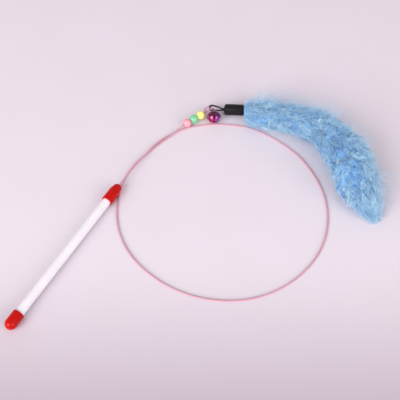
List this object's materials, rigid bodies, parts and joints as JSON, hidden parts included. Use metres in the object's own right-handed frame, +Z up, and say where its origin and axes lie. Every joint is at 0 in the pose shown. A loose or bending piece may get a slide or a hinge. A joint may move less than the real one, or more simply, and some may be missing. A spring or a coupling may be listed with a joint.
{
  "type": "cat teaser wand",
  "caption": "Hand-held pet toy: a tube handle with a long spring wire that carries beads, a jingle bell and a downy feather lure.",
  "frame": {"origin": "on the handle's axis, where the end cap's straight wall meets its dome", "axes": "+X along the handle from the end cap to the nozzle, +Z up from the plane that the wand lies on, which is 5.35 mm below the axis"},
  "size_m": [0.3433, 0.2328, 0.0326],
  "materials": {
    "handle_tube": "gloss white",
    "red_plastic": "gloss red",
    "crimp_metal": "bright",
    "coated_wire": "pink coating with a metallic sheen",
    "pink_bead": "pearly pink",
    "green_bead": "pearly green",
    "yellow_bead": "pearly yellow",
    "black_cord": "waxed black cord",
    "ferrule": "satin charcoal",
    "feather_string": "pale twisted string",
    "feather_down": "light blue marabou down",
    "bell_metal": "magenta lacquer over bright metal",
    "pellet_metal": "bare steel"
  },
  "bodies": {
    "wand": {"handle_tube": "handle_tube", "end_cap": "red_plastic", "nozzle_cap": "red_plastic", "wire_stop": "crimp_metal", "teaser_wire": "coated_wire"},
    "pink_bead": {"bead_pink": "pink_bead"},
    "green_bead": {"bead_green": "green_bead"},
    "yellow_bead": {"bead_yellow": "yellow_bead"},
    "cord_link": {"cord_loop": "black_cord"},
    "bell": {"bell_top": "bell_metal", "bell_base": "bell_metal", "bell_shank": "bell_metal"},
    "pellet": {"bell_pellet": "pellet_metal"},
    "lure": {"feather_ferrule": "ferrule", "cord_knot": "black_cord", "feather_core": "feather_string", "feather_boa": "feather_down"}
  },
  "joints": [
    {"name": "pink_bead_spin", "type": "hinge", "parent": "wand", "child": "pink_bead", "pos_m": [0.2663, -0.0165, -0.00075], "axis": [0.8813, -0.4588, 0.1132], "continuous": true},
    {"name": "green_bead_spin", "type": "hinge", "parent": "wand", "child": "green_bead", "pos_m": [0.27361, -0.02031, 0.00019], "axis": [0.8813, -0.4588, 0.1132], "continuous": true},
    {"name": "yellow_bead_spin", "type": "hinge", "parent": "wand", "child": "yellow_bead", "pos_m": [0.28093, -0.02412, 0.00113], "axis": [0.8813, -0.4588, 0.1132], "continuous": true},
    {"name": "loop_swing", "type": "hinge", "parent": "wand", "child": "cord_link", "pos_m": [0.29372, -0.02795, 0.00262], "axis": [0, 0, 1], "range_deg": [0, 75]},
    {"name": "lure_lift", "type": "hinge", "parent": "cord_link", "child": "lure", "pos_m": [0.30072, -0.04201, 0.0004], "axis": [-0.8949, -0.4462, 0], "range_deg": [0, 40]},
    {"name": "bell_swing", "type": "hinge", "parent": "cord_link", "child": "bell", "pos_m": [0.29219, -0.03296, 0.00222], "axis": [-0.5225, 0.8526, 0], "range_deg": [0, 58]},
    {"name": "pellet_rattle", "type": "slide", "parent": "bell", "child": "pellet", "axis": [0, 0, 1], "range_m": [0, 0.0083]}
  ]
}
